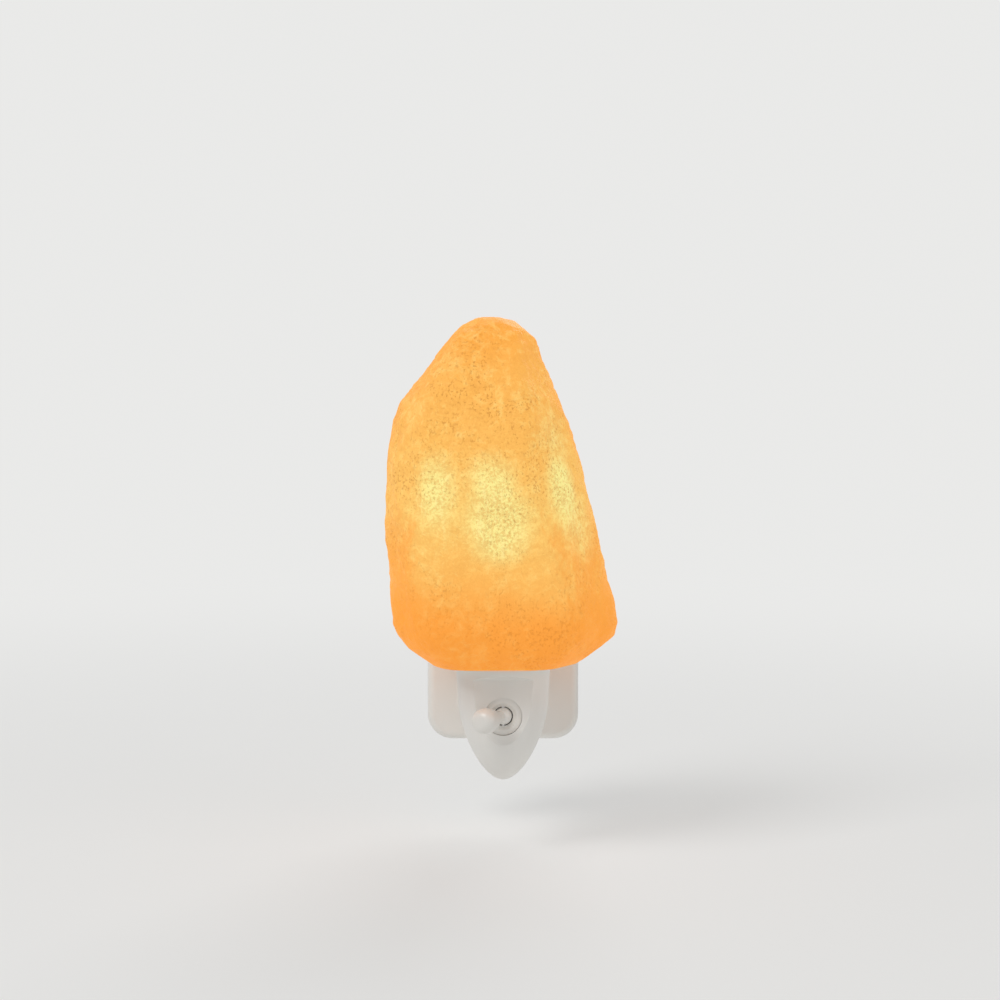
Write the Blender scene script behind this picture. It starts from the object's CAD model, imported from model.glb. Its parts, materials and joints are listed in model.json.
"""Looks of the plug-in salt lamp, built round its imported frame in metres."""
import json
import logging
from contextlib import contextmanager
from dataclasses import dataclass
from enum import Enum
from math import asin, cos, hypot, pi, radians, sin
from typing import Any, Callable, Iterator, Mapping, Sequence, Union

import bpy
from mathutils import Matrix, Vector


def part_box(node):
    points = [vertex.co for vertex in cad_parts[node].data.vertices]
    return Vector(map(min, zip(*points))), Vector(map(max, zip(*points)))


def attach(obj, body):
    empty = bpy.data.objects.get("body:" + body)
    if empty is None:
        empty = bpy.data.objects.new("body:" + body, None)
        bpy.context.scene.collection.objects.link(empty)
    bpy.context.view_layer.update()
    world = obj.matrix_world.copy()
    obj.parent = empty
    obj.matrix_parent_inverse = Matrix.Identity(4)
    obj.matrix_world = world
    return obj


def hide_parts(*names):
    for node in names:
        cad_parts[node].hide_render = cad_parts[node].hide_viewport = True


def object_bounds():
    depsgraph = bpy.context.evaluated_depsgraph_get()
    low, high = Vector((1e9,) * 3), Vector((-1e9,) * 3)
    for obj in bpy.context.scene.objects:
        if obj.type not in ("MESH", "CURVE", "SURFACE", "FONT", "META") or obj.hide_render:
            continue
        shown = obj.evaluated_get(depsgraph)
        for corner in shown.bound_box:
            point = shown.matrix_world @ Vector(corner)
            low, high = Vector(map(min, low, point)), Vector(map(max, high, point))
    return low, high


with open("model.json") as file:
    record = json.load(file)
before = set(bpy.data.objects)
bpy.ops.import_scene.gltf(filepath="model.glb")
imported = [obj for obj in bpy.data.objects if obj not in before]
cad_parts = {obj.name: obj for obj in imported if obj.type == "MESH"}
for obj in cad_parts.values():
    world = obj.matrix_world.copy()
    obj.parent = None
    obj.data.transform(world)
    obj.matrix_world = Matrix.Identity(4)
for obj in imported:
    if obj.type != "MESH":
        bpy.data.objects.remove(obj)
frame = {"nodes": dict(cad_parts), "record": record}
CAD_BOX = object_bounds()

LOG = logging.getLogger("salt_lamp")
MM = 0.001
NODE_MERGE = 0.01 * MM  # between points that a node's loose triangles share
SEAM_MERGE = 0.001 * MM  # between points that meet at a seam
CUT_TOLERANCE = 1e-6  # of a plane that cuts the rock

Colour = tuple[float, float, float, float]
Point = tuple[float, float, float]


class Body(str, Enum):
    """Bodies of the frame that new pieces ride on."""

    CRYSTAL = "crystal"
    BULB = "bulb"


# Helpers for modelling

def activate(piece: bpy.types.Object) -> None:
    """Make one piece the only selected and the active object.

    Args:
        piece: The object to work on.
    """
    bpy.ops.object.select_all(action="DESELECT")
    piece.select_set(True)
    bpy.context.view_layer.objects.active = piece


@contextmanager
def editing(piece: bpy.types.Object) -> Iterator[None]:
    """Work on a piece in edit mode, with all of it selected at first.

    Args:
        piece: The mesh object to edit.

    Returns:
        An iterator that pauses once, while the piece is in edit mode.
    """
    activate(piece)
    bpy.ops.object.mode_set(mode="EDIT")
    bpy.ops.mesh.select_all(action="SELECT")
    yield
    bpy.ops.object.mode_set(mode="OBJECT")


def modify(piece: bpy.types.Object, kind: str, **settings: Any) -> None:
    """Add a modifier to a piece and apply it.

    Args:
        piece: The mesh object to change.
        kind: The modifier's type.
        settings: Values of the modifier's own properties.
    """
    activate(piece)
    modifier = piece.modifiers.new(kind.lower(), kind)
    for name, value in settings.items():
        setattr(modifier, name, value)
    bpy.ops.object.modifier_apply(modifier=modifier.name)


def wind(outline: bpy.types.Object, axis: str, pitch: float, turns: int, steps: int) -> None:
    """Wind an outline into a coil.

    Args:
        outline: The mesh object of the outline.
        axis: Letter of the coil's axis.
        pitch: Advance in one turn.
        turns: Number of turns.
        steps: Steps in one turn.
    """
    modify(
        outline,
        "SCREW",
        axis=axis,
        angle=2 * pi,
        screw_offset=pitch,
        iterations=turns,
        steps=steps,
        render_steps=steps,
        use_merge_vertices=False,
    )


def start_piece(name: str, add: Callable[..., Any], **settings: Any) -> bpy.types.Object:
    """Add a primitive at the origin, with nothing else selected.

    Args:
        name: The new object's name.
        add: The operator that adds the primitive.
        settings: The operator's own settings.

    Returns:
        The new object.
    """
    bpy.ops.object.select_all(action="DESELECT")
    add(location=(0.0, 0.0, 0.0), **settings)
    piece = bpy.context.active_object
    piece.name = name
    return piece


def copy_of_node(node: str, name: str) -> bpy.types.Object:
    """Copy a node's mesh into a new object, with its doubles merged.

    Args:
        node: The node to copy.
        name: The new object's name.

    Returns:
        The new object, with its place in its mesh.
    """
    mesh = frame["nodes"][node].data.copy()
    mesh.materials.clear()
    piece = bpy.data.objects.new(name, mesh)
    bpy.context.scene.collection.objects.link(piece)
    with editing(piece):
        bpy.ops.mesh.remove_doubles(threshold=NODE_MERGE)
    return piece


def dress(piece: bpy.types.Object, material: bpy.types.Material) -> None:
    """Give a piece, new or a node of the frame, one material all over."""
    piece.data.materials.clear()
    piece.data.materials.append(material)


def paint(red: float, green: float, blue: float) -> Colour:
    """An opaque colour from three linear parts."""
    return red, green, blue, 1.0


# Shader maths

class Value:
    """A number socket that takes part in sums; each sum adds a Math node."""

    def __init__(self, book: "NodeBook", socket: bpy.types.NodeSocket) -> None:
        """Wrap a socket of a book's tree."""
        self.book = book
        self.socket = socket

    def __add__(self, other: "Number") -> "Value":
        """Sum of two values."""
        return self.book.math("ADD", self, other)

    def __sub__(self, other: "Number") -> "Value":
        """Difference of two values."""
        return self.book.math("SUBTRACT", self, other)

    def __mul__(self, other: "Number") -> "Value":
        """Product of two values."""
        return self.book.math("MULTIPLY", self, other)

    def __truediv__(self, other: "Number") -> "Value":
        """Quotient of two values."""
        return self.book.math("DIVIDE", self, other)

    def __radd__(self, other: "Number") -> "Value":
        """Sum with a number on the left."""
        return self.book.math("ADD", other, self)

    def __rsub__(self, other: "Number") -> "Value":
        """Difference from a number on the left."""
        return self.book.math("SUBTRACT", other, self)

    def __rmul__(self, other: "Number") -> "Value":
        """Product with a number on the left."""
        return self.book.math("MULTIPLY", other, self)

    def __rtruediv__(self, other: "Number") -> "Value":
        """Quotient of a number on the left."""
        return self.book.math("DIVIDE", other, self)

    def __abs__(self) -> "Value":
        """Size without sign."""
        return self.book.math("ABSOLUTE", self, 0.0)


Number = Union[Value, float]
Paint = Union[bpy.types.NodeSocket, Colour]


class NodeBook:
    """A shader tree that nodes are added to."""

    def __init__(self, tree: bpy.types.NodeTree) -> None:
        """Take up the tree of a material or a world."""
        self.tree = tree

    def add(
        self,
        kind: str,
        settings: Mapping[str, Any] | None = None,
        sockets: Mapping[Any, Any] | None = None,
    ) -> bpy.types.Node:
        """Add a node.

        Args:
            kind: The node's type.
            settings: The node's own properties, set first; stops are a ramp's places and colours.
            sockets: Values or links of its inputs, by name or number.

        Returns:
            The node.
        """
        node = self.tree.nodes.new(kind)
        for key, value in (settings or {}).items():
            if key == "stops":
                self.set_stops(node.color_ramp, value)
            else:
                setattr(node, key, value)
        for key, value in (sockets or {}).items():
            self.feed(node.inputs[key], value)
        return node

    def set_stops(self, ramp: bpy.types.ColorRamp, stops: Sequence[tuple[float, Colour]]) -> None:
        """Give a colour ramp its stops.

        Args:
            ramp: The ramp.
            stops: Places and colours, in order of place.
        """
        while len(ramp.elements) < len(stops):
            ramp.elements.new(1.0)
        for element, (place, colour) in zip(ramp.elements, stops):
            element.position = place
            element.color = colour

    def feed(self, socket: bpy.types.NodeSocket, value: Any) -> None:
        """Link a value to a socket, or set a plain number or colour on it.

        Args:
            socket: The input to feed.
            value: A value, an output, a number or a colour.
        """
        if isinstance(value, Value):
            value = value.socket
        if isinstance(value, bpy.types.NodeSocket):
            self.tree.links.new(value, socket)
        else:
            socket.default_value = value

    def math(self, operation: str, first: Number, second: Number) -> Value:
        """Add a Math node on two numbers."""
        node = self.add("ShaderNodeMath", {"operation": operation}, {0: first, 1: second})
        return Value(self, node.outputs[0])


class MaterialBook(NodeBook):
    """The tree of one material with a Principled shader, and the patterns it is painted with."""

    def __init__(self, name: str) -> None:
        """Start a material.

        Args:
            name: The material's name.
        """
        self.material = bpy.data.materials.new(name)
        self.material.use_nodes = True
        super().__init__(self.material.node_tree)
        self.shader = self.tree.nodes["Principled BSDF"]
        coordinates = self.add("ShaderNodeTexCoord")
        self.place = coordinates.outputs["Object"]
        self.facing = coordinates.outputs["Normal"]

    def set(self, **sockets: Any) -> None:
        """Feed the shader's sockets; underscores in their names stand for spaces."""
        for name, value in sockets.items():
            self.feed(self.shader.inputs[name.replace("_", " ")], value)

    def stretched(self, stretch: Point) -> bpy.types.NodeSocket:
        """Object coordinates, stretched along each axis."""
        sockets = {"Vector": self.place, "Scale": stretch}
        return self.add("ShaderNodeMapping", None, sockets).outputs["Vector"]

    def noise(
        self, count: float | Point, detail: float = 2.0, rough: float = 0.5, warp: float = 0.0
    ) -> Value:
        """Cloudy noise.

        Args:
            count: Features to a metre, alike all round or along each axis.
            detail: Octaves.
            rough: Weight of the finer octaves.
            warp: Distortion.

        Returns:
            A value about 0.5, from 0 to 1.
        """
        even = isinstance(count, float)
        sockets = {
            "Vector": self.place if even else self.stretched(count),
            "Scale": count if even else 1.0,
            "Detail": detail,
            "Roughness": rough,
            "Distortion": warp,
        }
        return Value(self, self.add("ShaderNodeTexNoise", None, sockets).outputs[0])

    def rise(self, value: Number, start: float, end: float) -> Value:
        """A smooth rise.

        Args:
            value: What it depends on.
            start: Where it is 0.
            end: Where it is 1, above or below the start.

        Returns:
            A value from 0 to 1.
        """
        sockets = {"Value": value, "From Min": start, "From Max": end}
        node = self.add("ShaderNodeMapRange", {"interpolation_type": "SMOOTHSTEP"}, sockets)
        return Value(self, node.outputs["Result"])

    def part(self, vector: bpy.types.NodeSocket, axis: str) -> Value:
        """One part of a vector, by the letter of its axis."""
        return Value(self, self.add("ShaderNodeSeparateXYZ", None, {"Vector": vector}).outputs[axis])

    def distance_to(self, point: Point, where: bpy.types.NodeSocket | None = None) -> Value:
        """Distance from a point.

        Args:
            point: The point.
            where: Coordinates, or None for the object's own.

        Returns:
            The distance.
        """
        sockets = {0: where or self.place, 1: point}
        node = self.add("ShaderNodeVectorMath", {"operation": "DISTANCE"}, sockets)
        return Value(self, node.outputs["Value"])

    def ramp(self, value: Number, stops: Sequence[tuple[float, Colour]]) -> bpy.types.NodeSocket:
        """Colours along a value from 0 to 1."""
        return self.add("ShaderNodeValToRGB", {"stops": stops}, {"Fac": value}).outputs["Color"]

    def blend(self, factor: Number, low: Paint, high: Paint) -> bpy.types.NodeSocket:
        """Mix two colours."""
        return self.add("ShaderNodeMix", {"data_type": "RGBA"}, {0: factor, 6: low, 7: high}).outputs[2]

    def bump(self, height: Number, depth: float) -> bpy.types.NodeSocket:
        """A normal bumped by a height, where a height of 1 stands for a depth in metres."""
        sockets = {"Height": height, "Distance": depth, "Strength": 1.0}
        return self.add("ShaderNodeBump", None, sockets).outputs["Normal"]


# Finishes

@dataclass(frozen=True)
class GlowPatch:
    """A spot of the rock's skin where more light comes through.

    Attributes:
        place: Its middle.
        reach: Distance where it has faded out, across.
        gain: Its share of the hottest colour in the middle.
        tall: How much taller than wide it is.
    """

    place: Point
    reach: float
    gain: float
    tall: float = 1.0


@dataclass(frozen=True)
class SaltPatterns:
    """Patterns that the salt's glow and skin share, each from 0 to 1.

    Attributes:
        height: Share of the rock's height.
        lively: How strongly the patterns show at that height.
        drift: The broadest changes.
        clouds: Broad clouds.
        mottle: Mottles.
        grain: Fine grain.
        fibres: Upright fibres.
        specks: Dark specks and stains.
    """

    height: Value
    lively: Value
    drift: Value
    clouds: Value
    mottle: Value
    grain: Value
    fibres: Value
    specks: Value


@dataclass(frozen=True)
class GlowingSalt:
    """Rough salt lit from inside, brightest round the bulb, with mottles, grain, fibres and specks.

    Attributes:
        low: Height of the rock's foot.
        high: Height of its top.
        levels: Colours of the glow from the foot to the top.
        hot: Colour of the glow where most light comes through.
        side: Colour of the glow on faces that look sideways.
        dull: Colour of the glow in dull grains.
        pale: Colour of the glow in pale fibres.
        speck: Colour of the glow in specks.
        skin: Colours of the salt itself, in its dark and its light mottles.
        stain: Colour of the salt itself in specks.
        fibre_count: Fibres to a metre along each axis.
        dot_count: Dots to a metre along each axis.
        relief: Depth of the fine relief.
        patches: Spots where most light comes through: in front, at the sides, behind and in the bore.
    """

    low: float
    high: float
    levels: tuple[tuple[float, Colour], ...] = (
        (0.00, paint(0.74, 0.240, 0.014)),
        (0.13, paint(0.75, 0.265, 0.022)),
        (0.25, paint(0.76, 0.400, 0.080)),
        (0.46, paint(0.75, 0.535, 0.141)),
        (0.64, paint(0.75, 0.418, 0.084)),
        (0.85, paint(0.75, 0.370, 0.062)),
        (0.95, paint(0.74, 0.305, 0.030)),
    )
    hot: Colour = paint(0.74, 0.76, 0.275)
    side: Colour = paint(0.77, 0.270, 0.018)
    dull: Colour = paint(0.50, 0.20, 0.022)
    pale: Colour = paint(0.78, 0.72, 0.300)
    speck: Colour = paint(0.42, 0.135, 0.012)
    skin: tuple[Colour, Colour] = (paint(0.25, 0.095, 0.018), paint(0.36, 0.150, 0.034))
    stain: Colour = paint(0.12, 0.05, 0.012)
    fibre_count: Point = (1000.0, 1000.0, 150.0)
    dot_count: Point = (1350.0, 1350.0, 1100.0)
    relief: float = 0.6 * MM
    patches: tuple[GlowPatch, ...] = (
        GlowPatch((-1.5 * MM, -76.0 * MM, 53.0 * MM), 14.2 * MM, 1.18, 1.25),
        GlowPatch((-4.0 * MM, -75.0 * MM, 66.0 * MM), 11.5 * MM, 0.80),
        GlowPatch((-20.6 * MM, -76.0 * MM, 62.5 * MM), 9.5 * MM, 1.00, 1.8),
        GlowPatch((19.6 * MM, -68.0 * MM, 63.0 * MM), 9.2 * MM, 1.12, 1.7),
        GlowPatch((17.0 * MM, -63.0 * MM, 77.0 * MM), 9.0 * MM, 0.35, 2.0),
        GlowPatch((23.5 * MM, -63.5 * MM, 51.0 * MM), 12.0 * MM, 0.62, 1.4),
        GlowPatch((-35.0 * MM, -40.0 * MM, 54.0 * MM), 13.5 * MM, 0.80, 1.3),
        GlowPatch((-9.0 * MM, -20.0 * MM, 52.0 * MM), 15.0 * MM, 0.80),
        GlowPatch((12.0 * MM, -20.0 * MM, 62.0 * MM), 12.0 * MM, 0.85),
        GlowPatch((0.0, -47.5 * MM, 42.0 * MM), 21.0 * MM, 3.0, 1.9),
    )

    def make(self) -> bpy.types.Material:
        """Build the material.

        Returns:
            The material.
        """
        book = MaterialBook("glowing_salt")
        patterns = self.lay_patterns(book)
        skin = book.blend(patterns.mottle, *self.skin)
        coarse = 0.5 * patterns.mottle + 0.45 * patterns.grain
        book.set(
            Base_Color=book.blend(0.5 * patterns.specks, skin, self.stain),
            Roughness=0.46 + 0.24 * patterns.grain,
            Emission_Color=self.glow(book, patterns),
            Emission_Strength=1.0,
            Specular_IOR_Level=0.35,
            Normal=book.bump(coarse + 0.25 * patterns.fibres - 0.4 * patterns.specks, self.relief),
        )
        return book.material

    def lay_patterns(self, book: MaterialBook) -> SaltPatterns:
        """Lay the patterns over the rock.

        Args:
            book: The material's tree.

        Returns:
            The patterns.
        """
        height = (book.part(book.place, "Z") - self.low) / (self.high - self.low)
        clusters = book.rise(book.noise(48.0, detail=5.0, rough=0.7, warp=0.9), 0.40, 0.62)
        dots = book.rise(book.noise(self.dot_count, detail=2.0, rough=0.5, warp=0.3), 0.575, 0.655)
        stains = book.rise(book.noise(120.0, detail=4.0, rough=0.7, warp=1.2), 0.60, 0.74)
        return SaltPatterns(
            height=height,
            lively=0.40 + 0.60 * book.rise(height, 0.12, 0.42),
            drift=book.noise(23.0, detail=2.0, rough=0.5, warp=0.3),
            clouds=book.noise(58.0, detail=4.0, rough=0.55, warp=0.5),
            mottle=book.noise(330.0, detail=4.0, rough=0.7, warp=0.6),
            grain=book.noise(1250.0, detail=3.0, rough=0.7, warp=0.3),
            fibres=book.noise(self.fibre_count, detail=3.0, rough=0.6, warp=0.6),
            specks=book.math("MINIMUM", clusters * dots + 0.35 * stains, 1.0),
        )

    def glow(self, book: MaterialBook, patterns: SaltPatterns) -> bpy.types.NodeSocket:
        """Colour of the glow: by height and patches, then sideways faces, grains, fibres and specks.

        Args:
            book: The material's tree.
            patterns: The rock's patterns.

        Returns:
            The colour.
        """
        lively = patterns.lively
        shine = self.shine(book, patterns)
        drifted = patterns.height + 0.16 * (patterns.drift - 0.5) + 0.08 * (patterns.clouds - 0.5)
        glow = book.blend(shine, book.ramp(drifted, self.levels), self.hot)
        turned = self.turned(book, patterns.height)
        glow = book.blend(0.70 * turned * (1.0 - 0.8 * shine), glow, self.side)
        upward = book.part(book.facing, "Z")
        grains = book.rise(0.35 * patterns.mottle + 0.65 * patterns.grain + 0.12 * upward, 0.60, 0.42)
        glow = book.blend(grains * lively * (0.24 + 0.24 * shine), glow, self.dull)
        fibres = book.rise(patterns.fibres + 0.4 * (patterns.mottle - 0.5), 0.54, 0.70)
        glow = book.blend(0.45 * (fibres * (0.10 + 0.90 * shine)) * lively, glow, self.pale)
        return book.blend(0.44 * patterns.specks * lively, glow, self.speck)

    def shine(self, book: MaterialBook, patterns: SaltPatterns) -> Value:
        """Share of the hottest colour: the patches, broken up by clouds and mottles.

        Args:
            book: The material's tree.
            patterns: The rock's patterns.

        Returns:
            A value from 0 to 1.
        """
        clouds = patterns.lively * (patterns.clouds - 0.5)
        mottle = patterns.lively * (patterns.mottle - 0.5)
        tear = 0.8 * clouds + 0.3 * mottle
        total = 0.9 * clouds + 1.1 * mottle
        for patch in self.patches:
            x, y, z = patch.place
            squeezed = book.stretched((1.0, 1.0, 1.0 / patch.tall))
            away = book.distance_to((x, y, z / patch.tall), squeezed) / patch.reach
            total = total + patch.gain * (1.0 - book.rise(away + tear, 0.15, 1.0))
        return book.math("MINIMUM", book.math("MAXIMUM", total, 0.0), 1.0)

    def turned(self, book: MaterialBook, height: Value) -> Value:
        """Share of the sideways colour: faces that look sideways, and the low part of the flanks.

        Args:
            book: The material's tree.
            height: Share of the rock's height.

        Returns:
            A value from 0 to 1.
        """
        sideways = 1.0 - book.rise(abs(book.part(book.facing, "Y")), 0.10, 0.58)
        flank = book.rise(abs(book.part(book.facing, "X")), 0.40, 0.85)
        low = 1.0 - book.rise(height, 0.30, 0.66)
        return book.math("MAXIMUM", 0.8 * sideways, flank * low)


@dataclass(frozen=True)
class MouldedPlastic:
    """Moulded plastic with a fine eroded texture, faint flow marks and a soft shine.

    Attributes:
        name: The material's name.
        colour: Main colour.
        shade: Colour of the faint flow marks.
        roughness: Middle roughness.
        coat: Weight of the clear shine on top.
        texture: Depth of the fine texture.
        flow_count: Flow marks to a metre along each axis.
    """

    name: str
    colour: Colour
    shade: Colour
    roughness: float = 0.42
    coat: float = 0.08
    texture: float = 0.02 * MM
    flow_count: Point = (45.0, 45.0, 18.0)

    def make(self) -> bpy.types.Material:
        """Build the material.

        Returns:
            The material.
        """
        book = MaterialBook(self.name)
        flow = book.noise(self.flow_count, detail=3.0, rough=0.5, warp=0.8)
        grain = book.noise(2600.0, detail=2.0, rough=0.6)
        rub = book.noise(140.0, detail=4.0, rough=0.65, warp=0.3)
        book.set(
            Base_Color=book.blend(book.rise(flow, 0.3, 0.75), self.colour, self.shade),
            Roughness=self.roughness - 0.07 + 0.10 * grain + 0.10 * book.rise(rub, 0.45, 0.75),
            Coat_Weight=self.coat,
            Coat_Roughness=0.25,
            Normal=book.bump(grain + 0.6 * rub, self.texture),
        )
        return book.material


@dataclass(frozen=True)
class DrawnMetal:
    """Metal with drawing streaks along one direction and patches of tarnish.

    Attributes:
        name: The material's name.
        bright: Colour of the bare metal.
        dull: Colour of the tarnish.
        streak_count: Streaks to a metre along each axis; the low one is the direction of drawing.
        roughness: Middle roughness.
        tarnish: Share of the dull colour in its patches.
        relief: Depth of the streaks.
    """

    name: str
    bright: Colour
    dull: Colour
    streak_count: Point
    roughness: float
    tarnish: float
    relief: float = 0.012 * MM

    def make(self) -> bpy.types.Material:
        """Build the material.

        Returns:
            The material.
        """
        book = MaterialBook(self.name)
        drawn = book.noise(self.streak_count, detail=4.0, rough=0.65, warp=0.1)
        patches = book.rise(book.noise(170.0, detail=4.0, rough=0.6, warp=0.5), 0.48, 0.78)
        scratches = book.rise(book.noise(self.streak_count[::-1]), 0.62, 0.7)
        colour = book.blend(drawn * 0.35, self.bright, self.dull)
        book.set(
            Base_Color=book.blend(patches * self.tarnish, colour, self.dull),
            Metallic=1.0,
            Roughness=self.roughness - 0.06 + 0.14 * drawn + 0.16 * patches,
            Normal=book.bump(drawn + 0.4 * scratches, self.relief),
        )
        return book.material


@dataclass(frozen=True)
class ClearGlass:
    """Blown glass with a trace of dust and faint waves.

    Attributes:
        name: The material's name.
        tint: Colour of the glass.
        waves: Depth of the waves.
    """

    name: str
    tint: Colour
    waves: float = 0.03 * MM

    def make(self) -> bpy.types.Material:
        """Build the material.

        Returns:
            The material.
        """
        book = MaterialBook(self.name)
        dust = book.rise(book.noise(190.0, detail=4.0, rough=0.6), 0.5, 0.85)
        book.set(
            Base_Color=self.tint,
            Roughness=0.01 + 0.09 * dust,
            Transmission_Weight=1.0,
            IOR=1.45,
            Normal=book.bump(book.noise(70.0), self.waves),
        )
        return book.material


@dataclass(frozen=True)
class HotWire:
    """Wire that glows, brighter in its middle.

    Attributes:
        name: The material's name.
        heart: Place of the wire's middle.
        reach: Half the wire's span.
        metal: Colours of the wire itself.
        glow: Colours of the glow from the middle to the ends.
        strength: Strength of the glow.
    """

    name: str
    heart: Point
    reach: float
    metal: tuple[Colour, Colour] = (paint(0.30, 0.28, 0.26), paint(0.42, 0.39, 0.35))
    glow: tuple[tuple[float, Colour], ...] = ((0.0, paint(1.0, 0.72, 0.30)), (1.0, paint(1.0, 0.45, 0.10)))
    strength: float = 6.0

    def make(self) -> bpy.types.Material:
        """Build the material.

        Returns:
            The material.
        """
        book = MaterialBook(self.name)
        cool = book.rise(book.distance_to(self.heart), 0.2 * self.reach, self.reach)
        grain = book.noise(4000.0)
        book.set(
            Base_Color=book.blend(grain, *self.metal),
            Metallic=1.0,
            Roughness=0.4 + 0.2 * grain,
            Emission_Color=book.ramp(cool, self.glow),
            Emission_Strength=self.strength,
        )
        return book.material


class Finishes:
    """Every finish of the lamp, made once and kept by the record's material slots."""

    def __init__(self) -> None:
        """Make the materials."""
        foot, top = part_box("salt_crystal")
        left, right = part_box("bulb_filament")
        along_pins = (700.0, 40.0, 700.0)
        upright = (700.0, 700.0, 40.0)
        across = (40.0, 700.0, 700.0)
        finishes = {
            "salt": GlowingSalt(foot.z, top.z),
            "white_plastic": MouldedPlastic(
                "white_moulding", paint(0.80, 0.79, 0.755), paint(0.765, 0.75, 0.71)
            ),
            "switch_plastic": MouldedPlastic(
                "switch_moulding",
                paint(0.79, 0.775, 0.735),
                paint(0.74, 0.72, 0.675),
                roughness=0.34,
                coat=0.15,
            ),
            "holder_plastic": MouldedPlastic(
                "holder_moulding",
                paint(0.70, 0.675, 0.60),
                paint(0.63, 0.60, 0.52),
                roughness=0.52,
                coat=0.0,
            ),
            "dark_plastic": MouldedPlastic(
                "dark_moulding",
                paint(0.018, 0.018, 0.020),
                paint(0.035, 0.034, 0.034),
                roughness=0.5,
                coat=0.0,
            ),
            "cap_insulator": MouldedPlastic(
                "fused_insulator",
                paint(0.010, 0.010, 0.012),
                paint(0.022, 0.020, 0.026),
                roughness=0.12,
                coat=0.5,
            ),
            "brown_insulation": MouldedPlastic(
                "brown_insulation",
                paint(0.105, 0.038, 0.016),
                paint(0.075, 0.026, 0.011),
                roughness=0.38,
                coat=0.1,
            ),
            "blue_insulation": MouldedPlastic(
                "blue_insulation",
                paint(0.022, 0.085, 0.36),
                paint(0.016, 0.060, 0.27),
                roughness=0.38,
                coat=0.1,
            ),
            "brass": DrawnMetal(
                "drawn_brass",
                paint(0.80, 0.58, 0.25),
                paint(0.52, 0.34, 0.13),
                along_pins,
                roughness=0.24,
                tarnish=0.45,
            ),
            "steel": DrawnMetal(
                "turned_steel",
                paint(0.60, 0.60, 0.61),
                paint(0.36, 0.35, 0.34),
                upright,
                roughness=0.30,
                tarnish=0.4,
            ),
            "spring_steel": DrawnMetal(
                "rolled_spring_steel",
                paint(0.52, 0.53, 0.55),
                paint(0.30, 0.29, 0.29),
                across,
                roughness=0.26,
                tarnish=0.4,
            ),
            "plated_cap": DrawnMetal(
                "plated_cap",
                paint(0.74, 0.73, 0.69),
                paint(0.52, 0.49, 0.43),
                across,
                roughness=0.20,
                tarnish=0.3,
            ),
            "clear_glass": ClearGlass("clear_glass", paint(0.98, 0.985, 0.98)),
            "filament": HotWire("hot_filament", tuple((left + right) / 2), (right.x - left.x) / 2),
        }
        self.by_slot = {slot: finish.make() for slot, finish in finishes.items()}

    def of(self, slot: str) -> bpy.types.Material:
        """The finish of one of the record's material slots."""
        return self.by_slot[slot]


# Salt rock

@dataclass(frozen=True)
class Facet:
    """A flat chiselled off the rock.

    Attributes:
        azimuth: Way it faces round the upright axis, in degrees from the front towards the right.
        rise: Way it faces above the level, in degrees.
        depth: How deep it goes below the rock's outermost point that way.
    """

    azimuth: float
    rise: float
    depth: float

    def facing(self) -> Vector:
        """The way the flat faces.

        Returns:
            A vector of length 1.
        """
        turn = radians(self.azimuth)
        level = cos(radians(self.rise))
        return Vector((sin(turn) * level, -cos(turn) * level, sin(radians(self.rise))))


class Pattern(Enum):
    """Kinds of relief on the rock, by the texture that drives them."""

    LUMPS = "CLOUDS"
    CHIPS = "VORONOI"


@dataclass(frozen=True)
class Relief:
    """A pattern that raises and sinks the rock's skin.

    Attributes:
        name: Its name.
        pattern: Its kind.
        size: Size of its features.
        height: From its lowest to its highest points.
        middle: Share of the pattern that leaves the skin where it is.
    """

    name: str
    pattern: Pattern
    size: float
    height: float
    middle: float = 0.56


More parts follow.
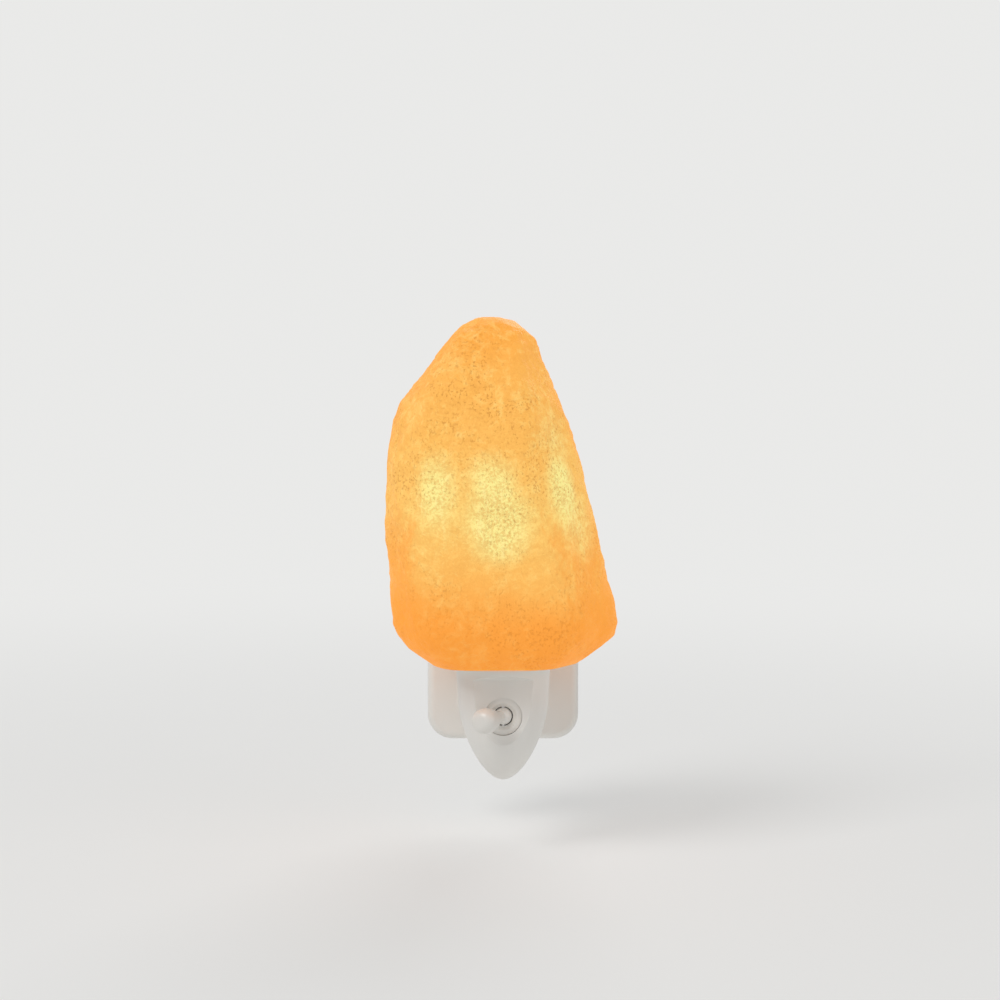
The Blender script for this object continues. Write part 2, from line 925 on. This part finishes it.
@dataclass
class SaltRock:
    """The rough salt rock that stands for the plain crystal.

    Attributes:
        finishes: The lamp's finishes.
        axis: A point of the lamp's upright axis.
        voxel: Size of the mesh's squares.
        still_height: Height below which the foot stays plain.
        rough_height: Height above which the skin is fully rough.
        bore_reach: Radius round the lamp's axis that holds the bore, with some wall.
        bore_height: Height of that hollow.
        margin: How far the trimmed rock stays inside the crystal's box.
        facets: Flats chiselled off first: in front, behind, at the top and at the foot.
        reliefs: Patterns of the broken skin, from broad to fine.
        piece: The rock's mesh object, once it is built.
    """

    finishes: Finishes
    axis: Vector
    voxel: float = 0.72 * MM
    still_height: float = 8.0 * MM
    rough_height: float = 15.0 * MM
    bore_reach: float = 17.0 * MM
    bore_height: float = 78.0 * MM
    margin: float = 0.02 * MM
    facets: tuple[Facet, ...] = (
        Facet(38.0, 10.0, 1.3 * MM),
        Facet(-44.0, 6.0, 1.3 * MM),
        Facet(-4.0, 10.0, 0.9 * MM),
        Facet(150.0, 8.0, 1.2 * MM),
        Facet(206.0, 7.0, 1.2 * MM),
        Facet(-20.0, 60.0, 1.0 * MM),
        Facet(90.0, 52.0, 1.6 * MM),
        Facet(70.0, 68.0, 0.9 * MM),
        Facet(90.0, -55.0, 1.2 * MM),
        Facet(-90.0, -55.0, 1.0 * MM),
    )
    reliefs: tuple[Relief, ...] = (
        Relief("broad_lumps", Pattern.LUMPS, 15.0 * MM, 2.0 * MM, 0.60),
        Relief("chips", Pattern.CHIPS, 9.0 * MM, 0.9 * MM),
        Relief("pits", Pattern.LUMPS, 4.0 * MM, 0.55 * MM),
        Relief("grit", Pattern.LUMPS, 1.6 * MM, 0.42 * MM),
    )
    piece: bpy.types.Object | None = None

    def build(self) -> None:
        """Chisel the crystal's form, remesh it and break its skin."""
        self.piece = copy_of_node("salt_crystal", "salt_rock")
        for facet in self.facets:
            self.chisel(facet)
        modify(self.piece, "REMESH", mode="VOXEL", voxel_size=self.voxel, use_smooth_shade=True)
        modify(self.piece, "SMOOTH", factor=0.5, iterations=3)
        self.mark_skin()
        for relief in self.reliefs:
            self.roughen(relief)
        self.trim()
        activate(self.piece)
        bpy.ops.object.shade_smooth()

    def chisel(self, facet: Facet) -> None:
        """Cut a flat off the rock.

        Args:
            facet: The flat to cut.
        """
        facing = facet.facing()
        furthest = max(facing.dot(vertex.co) for vertex in self.piece.data.vertices)
        self.cut(facing * (furthest - facet.depth), facing)

    def cut(self, point: Vector, facing: Vector) -> None:
        """Cut away all that lies beyond a plane and close the rock there.

        Args:
            point: A point of the plane.
            facing: The way the plane faces.
        """
        with editing(self.piece):
            bpy.ops.mesh.bisect(
                plane_co=point, plane_no=facing, use_fill=True, clear_outer=True, threshold=CUT_TOLERANCE
            )

    def mark_skin(self) -> None:
        """Weigh the skin that is to be rough: nothing in the bore or at the foot."""
        skin = self.piece.vertex_groups.new(name="skin")
        for vertex in self.piece.data.vertices:
            out = hypot(vertex.co.x - self.axis.x, vertex.co.y - self.axis.y)
            share = (vertex.co.z - self.still_height) / (self.rough_height - self.still_height)
            if out < self.bore_reach and vertex.co.z < self.bore_height:
                share = 0.0
            skin.add([vertex.index], min(max(share, 0.0), 1.0), "REPLACE")

    def roughen(self, relief: Relief) -> None:
        """Raise and sink the skin by a pattern.

        Args:
            relief: The pattern.
        """
        texture = bpy.data.textures.new(relief.name, relief.pattern.value)
        texture.noise_scale = relief.size
        modify(
            self.piece,
            "DISPLACE",
            texture=texture,
            texture_coords="LOCAL",
            vertex_group="skin",
            strength=relief.height,
            mid_level=relief.middle,
        )

    def trim(self) -> None:
        """Cut off what stands out of the crystal's own box at the sides and on top; the foot is plain."""
        low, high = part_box("salt_crystal")
        right = Vector((1, 0, 0))
        back = Vector((0, 1, 0))
        up = Vector((0, 0, 1))
        for way in (right, back):
            self.cut(way * (way.dot(high) - self.margin), way)
            self.cut(way * (way.dot(low) + self.margin), -way)
        self.cut(up * (high.z - self.margin), up)

    def dress(self) -> None:
        """Give the rock its glow and put it in the crystal's place."""
        dress(self.piece, self.finishes.of("salt"))
        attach(self.piece, Body.CRYSTAL.value)
        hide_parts("salt_crystal")


# Bulb

@dataclass
class ThreadedCap:
    """The bulb's cap with its rolled thread, in place of the plain cap.

    Attributes:
        finishes: The lamp's finishes.
        pitch: Of the thread.
        crest: Height of the thread above the shell.
        bead: Half the thread's height along the axis.
        plain: Height of the plain skirt above the thread, and of the plain foot below.
        wall: Thickness of the shell.
        sides: Flats round the shell.
        bead_sides: Flats round the thread's bead.
        steps: Steps of the thread in one turn.
        crease: Angle in degrees past which an edge stays sharp.
        piece: The cap's mesh object, once it is built.
    """

    finishes: Finishes
    pitch: float = 2.822 * MM
    crest: float = 0.45 * MM
    bead: float = 1.15 * MM
    plain: float = 2.6 * MM
    wall: float = 0.3 * MM
    sides: int = 96
    bead_sides: int = 20
    steps: int = 72
    crease: float = 40.0
    piece: bpy.types.Object | None = None

    def build(self) -> None:
        """Turn the shell, wind the thread round it and join them."""
        low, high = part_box("bulb_cap")
        height = high.z - low.z
        radius = (high.x - low.x) / 2 - self.crest
        shell = start_piece(
            "threaded_cap",
            bpy.ops.mesh.primitive_cylinder_add,
            vertices=self.sides,
            radius=radius,
            depth=height,
            end_fill_type="NOTHING",
        )
        modify(shell, "SOLIDIFY", thickness=self.wall, offset=-1.0)
        thread = self.wind_thread(radius, height)
        activate(shell)
        thread.select_set(True)
        bpy.ops.object.join()
        with editing(shell):
            bpy.ops.mesh.remove_doubles(threshold=SEAM_MERGE)
            bpy.ops.mesh.normals_make_consistent(inside=False)
            bpy.ops.transform.translate(value=(low + high) / 2)
        activate(shell)
        bpy.ops.object.shade_smooth_by_angle(angle=radians(self.crease))
        self.piece = shell

    def wind_thread(self, radius: float, height: float) -> bpy.types.Object:
        """Wind a rounded bead round the shell.

        Args:
            radius: Outer radius of the shell.
            height: Height of the shell, whose middle is at the origin.

        Returns:
            The bead, with closed ends.
        """
        thread = start_piece(
            "thread",
            bpy.ops.mesh.primitive_circle_add,
            vertices=self.bead_sides,
            radius=1.0,
            fill_type="NOTHING",
        )
        start = self.plain - height / 2
        turns = int((height - 2 * self.plain) / self.pitch)
        with editing(thread):
            bpy.ops.transform.rotate(value=pi / 2, orient_axis="X", center_override=(0, 0, 0))
            bpy.ops.transform.resize(value=(self.crest, 1.0, self.bead), center_override=(0, 0, 0))
            bpy.ops.transform.translate(value=(radius, 0, start))
        wind(thread, "Z", self.pitch, turns, self.steps)
        with editing(thread):
            bpy.ops.mesh.remove_doubles(threshold=SEAM_MERGE)
            bpy.ops.mesh.fill_holes(sides=self.bead_sides)
        return thread

    def dress(self) -> None:
        """Give the cap its plating and put it in the plain cap's place."""
        dress(self.piece, self.finishes.of("plated_cap"))
        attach(self.piece, Body.BULB.value)
        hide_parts("bulb_cap")


@dataclass
class CoiledFilament:
    """The filament as a coiled wire on its arc, in place of the plain rod.

    Attributes:
        finishes: The lamp's finishes.
        wire: Radius of the wire.
        pitch: Of the coil.
        sides: Flats round the wire.
        steps: Steps of the coil in one turn.
        piece: The filament's mesh object, once it is built.
    """

    finishes: Finishes
    wire: float = 0.075 * MM
    pitch: float = 0.34 * MM
    sides: int = 8
    steps: int = 14
    piece: bpy.types.Object | None = None

    def build(self) -> None:
        """Wind a straight coil and hang it along an arc."""
        low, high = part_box("bulb_filament")
        outer = (high.y - low.y) / 2
        chord = high.x - low.x - 2 * outer
        sag = high.z - low.z - 2 * outer
        bend_radius = (chord ** 2 / 4 + sag ** 2) / (2 * sag)
        bend = 2 * asin(chord / 2 / bend_radius)
        turns = int(bend * bend_radius / self.pitch)
        coil = start_piece(
            "coiled_filament",
            bpy.ops.mesh.primitive_circle_add,
            vertices=self.sides,
            radius=self.wire,
            fill_type="NOTHING",
        )
        with editing(coil):
            bpy.ops.transform.translate(value=(-turns * self.pitch / 2, outer - self.wire, 0))
        wind(coil, "X", self.pitch, turns, self.steps)
        with editing(coil):
            bpy.ops.mesh.fill_holes(sides=self.sides)
            bpy.ops.mesh.normals_make_consistent(inside=False)
        modify(coil, "SIMPLE_DEFORM", deform_method="BEND", angle=bend, deform_axis="Z")
        self.hang(coil, (low + high) / 2, high.z)
        activate(coil)
        bpy.ops.object.shade_smooth()
        self.piece = coil

    def hang(self, coil: bpy.types.Object, middle: Vector, top: float) -> None:
        """Stand the arc upright with its ends up, and put it in place.

        Args:
            coil: The coil, bent in the level plane with its ends towards the back.
            middle: Middle of its place.
            top: Height of its ends.
        """
        furthest = max(vertex.co.y for vertex in coil.data.vertices)
        with editing(coil):
            bpy.ops.transform.rotate(value=-pi / 2, orient_axis="X", center_override=(0, 0, 0))
            bpy.ops.transform.translate(value=(middle.x, middle.y, top - furthest))

    def dress(self) -> None:
        """Make the coil glow and put it in the rod's place."""
        dress(self.piece, self.finishes.of("filament"))
        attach(self.piece, Body.BULB.value)
        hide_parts("bulb_filament")


# Nodes of the frame

@dataclass
class Fittings:
    """The frame's own nodes, which only get a finish; a node that a new piece stands for is hidden.

    Attributes:
        finishes: The lamp's finishes.
    """

    finishes: Finishes

    def dress(self) -> None:
        """Give each node the finish of its slot in the record."""
        for subpart in frame["record"]["subparts"]:
            node = subpart["node"]
            slot = subpart["material_slot"]
            dress(frame["nodes"][node], self.finishes.of(slot))
            LOG.info("%s: %s", node, slot)


# Studio

@dataclass(frozen=True)
class SoftLamp:
    """A square soft lamp.

    Attributes:
        name: Its name.
        place: Where it hangs.
        width: Length of its sides.
        power: Its power in watts.
    """

    name: str
    place: Point
    width: float
    power: float


@dataclass
class Studio:
    """Camera, soft lamps, pale floor and backdrop.

    Attributes:
        aim: Point at the middle of the picture.
        distance: From that point to the camera.
        pitch: Downward tilt of the camera, in degrees.
        lens: Focal length in millimetres on the sensor.
        sensor: Width of the sensor in millimetres.
        clip: Nearest and furthest distance that the camera sees.
        lamps: The soft lamps.
        lit_point: Point that the lamps face.
        soft_light: Strength of the light from all round.
        backdrop: Colour behind the lamp.
        floor_colour: Colour of the floor.
        floor_shade: Colour of the floor's faint grain.
        floor_gap: Floor below the lamp's lowest point.
        floor_reach: Radius of the floor.
        floor_sides: Corners of the floor.
        fade: Distances where the floor starts to fade into the backdrop and has faded.
        near_share: Share of the backdrop's colour in the floor nearer than that.
    """

    aim: Point = (-1.0 * MM, 0.0, 54.7 * MM)
    distance: float = 700.0 * MM
    pitch: float = 4.0
    lens: float = 73.476
    sensor: float = 36.0
    clip: tuple[float, float] = (0.01, 50.0)
    lamps: tuple[SoftLamp, ...] = (
        SoftLamp("key_lamp", (-1.0, -1.0, 1.3), 0.8, 15.0),
        SoftLamp("fill_lamp", (1.3, -1.0, 0.5), 1.2, 4.0),
        SoftLamp("back_lamp", (0.4, 1.3, 1.0), 1.0, 9.0),
    )
    lit_point: Point = (0.0, -30.0 * MM, 40.0 * MM)
    soft_light: float = 0.27
    backdrop: Colour = paint(0.82, 0.82, 0.81)
    floor_colour: Colour = paint(0.93, 0.93, 0.92)
    floor_shade: Colour = paint(0.6, 0.6, 0.6)
    floor_gap: float = 24.0 * MM
    floor_reach: float = 6.0
    floor_sides: int = 96
    fade: tuple[float, float] = (0.12, 0.75)
    near_share: float = 0.45

    def build(self) -> None:
        """Set up the camera, the lamps, the floor and the world."""
        scene = bpy.context.scene
        scene.view_settings.view_transform = "Standard"
        self.place_camera(scene)
        for lamp in self.lamps:
            self.hang(lamp)
        self.lay_floor()
        self.light_world(scene)

    def place_camera(self, scene: bpy.types.Scene) -> None:
        """Put the camera where the photograph was taken from.

        Args:
            scene: The scene that it films.
        """
        tilt = radians(self.pitch)
        away = Vector((0.0, -cos(tilt), sin(tilt))) * self.distance
        bpy.ops.object.camera_add(location=Vector(self.aim) + away, rotation=(pi / 2 - tilt, 0.0, 0.0))
        camera = bpy.context.active_object
        camera.name = "photo_camera"
        camera.data.lens = self.lens
        camera.data.sensor_width = self.sensor
        camera.data.clip_start, camera.data.clip_end = self.clip
        scene.camera = camera

    def hang(self, lamp: SoftLamp) -> None:
        """Hang a soft lamp that faces the object.

        Args:
            lamp: The lamp.
        """
        towards = Vector(self.lit_point) - Vector(lamp.place)
        turn = towards.to_track_quat("-Z", "Y").to_euler()
        bpy.ops.object.light_add(type="AREA", location=lamp.place, rotation=turn)
        light = bpy.context.active_object
        light.name = lamp.name
        light.data.size = lamp.width
        light.data.energy = lamp.power

    def lay_floor(self) -> None:
        """Lay a pale floor that fades into the backdrop and is clear from below."""
        lowest, _ = CAD_BOX
        floor = start_piece(
            "floor",
            bpy.ops.mesh.primitive_circle_add,
            vertices=self.floor_sides,
            radius=self.floor_reach,
            fill_type="NGON",
        )
        with editing(floor):
            bpy.ops.transform.translate(value=(0.0, 0.0, lowest.z - self.floor_gap))
        book = MaterialBook("pale_floor")
        grain = book.noise(30.0, detail=3.0)
        shade = book.blend(0.03 * grain, self.floor_colour, self.floor_shade)
        book.set(Base_Color=shade, Roughness=0.9, Specular_IOR_Level=0.1)
        backdrop = book.add("ShaderNodeEmission", None, {"Color": self.backdrop, "Strength": 1.0})
        away = book.rise(book.distance_to((0.0, 0.0, 0.0)), *self.fade)
        faded = self.near_share + (1.0 - self.near_share) * away
        sockets = {0: faded, 1: book.shader.outputs[0], 2: backdrop.outputs[0]}
        seen = book.add("ShaderNodeMixShader", None, sockets)
        below = book.add("ShaderNodeNewGeometry").outputs["Backfacing"]
        clear = book.add("ShaderNodeBsdfTransparent")
        sockets = {0: below, 1: seen.outputs[0], 2: clear.outputs[0]}
        one_sided = book.add("ShaderNodeMixShader", None, sockets)
        book.feed(book.tree.nodes["Material Output"].inputs["Surface"], one_sided.outputs[0])
        dress(floor, book.material)

    def light_world(self, scene: bpy.types.Scene) -> None:
        """Light all round softly, and show the backdrop's colour behind the lamp.

        Args:
            scene: The scene to light.
        """
        world = bpy.data.worlds.new("pale_room")
        world.use_nodes = True
        book = NodeBook(world.node_tree)
        path = book.add("ShaderNodeLightPath")
        seen = book.math("MAXIMUM", path.outputs["Is Camera Ray"], path.outputs["Is Glossy Ray"])
        seen = book.math("MAXIMUM", seen, path.outputs["Is Transmission Ray"])
        soft = book.add(
            "ShaderNodeBackground", None, {"Color": paint(1.0, 1.0, 1.0), "Strength": self.soft_light}
        )
        shown = book.add("ShaderNodeBackground", None, {"Color": self.backdrop, "Strength": 1.0})
        mixed = book.add("ShaderNodeMixShader", None, {0: seen, 1: soft.outputs[0], 2: shown.outputs[0]})
        book.feed(book.tree.nodes["World Output"].inputs["Surface"], mixed.outputs[0])
        scene.world = world


def main() -> None:
    """Build and dress the lamp, then set the studio up round it."""
    logging.basicConfig(level=logging.INFO, format="%(name)s: %(message)s")
    finishes = Finishes()
    cap_foot, cap_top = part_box("bulb_cap")
    rock = SaltRock(finishes, (cap_foot + cap_top) / 2)
    for part in (rock, ThreadedCap(finishes), CoiledFilament(finishes)):
        part.build()
        part.dress()
        LOG.info("%s: %d faces", part.piece.name, len(part.piece.data.polygons))
    Fittings(finishes).dress()
    Studio().build()


if __name__ == "__main__":
    main()
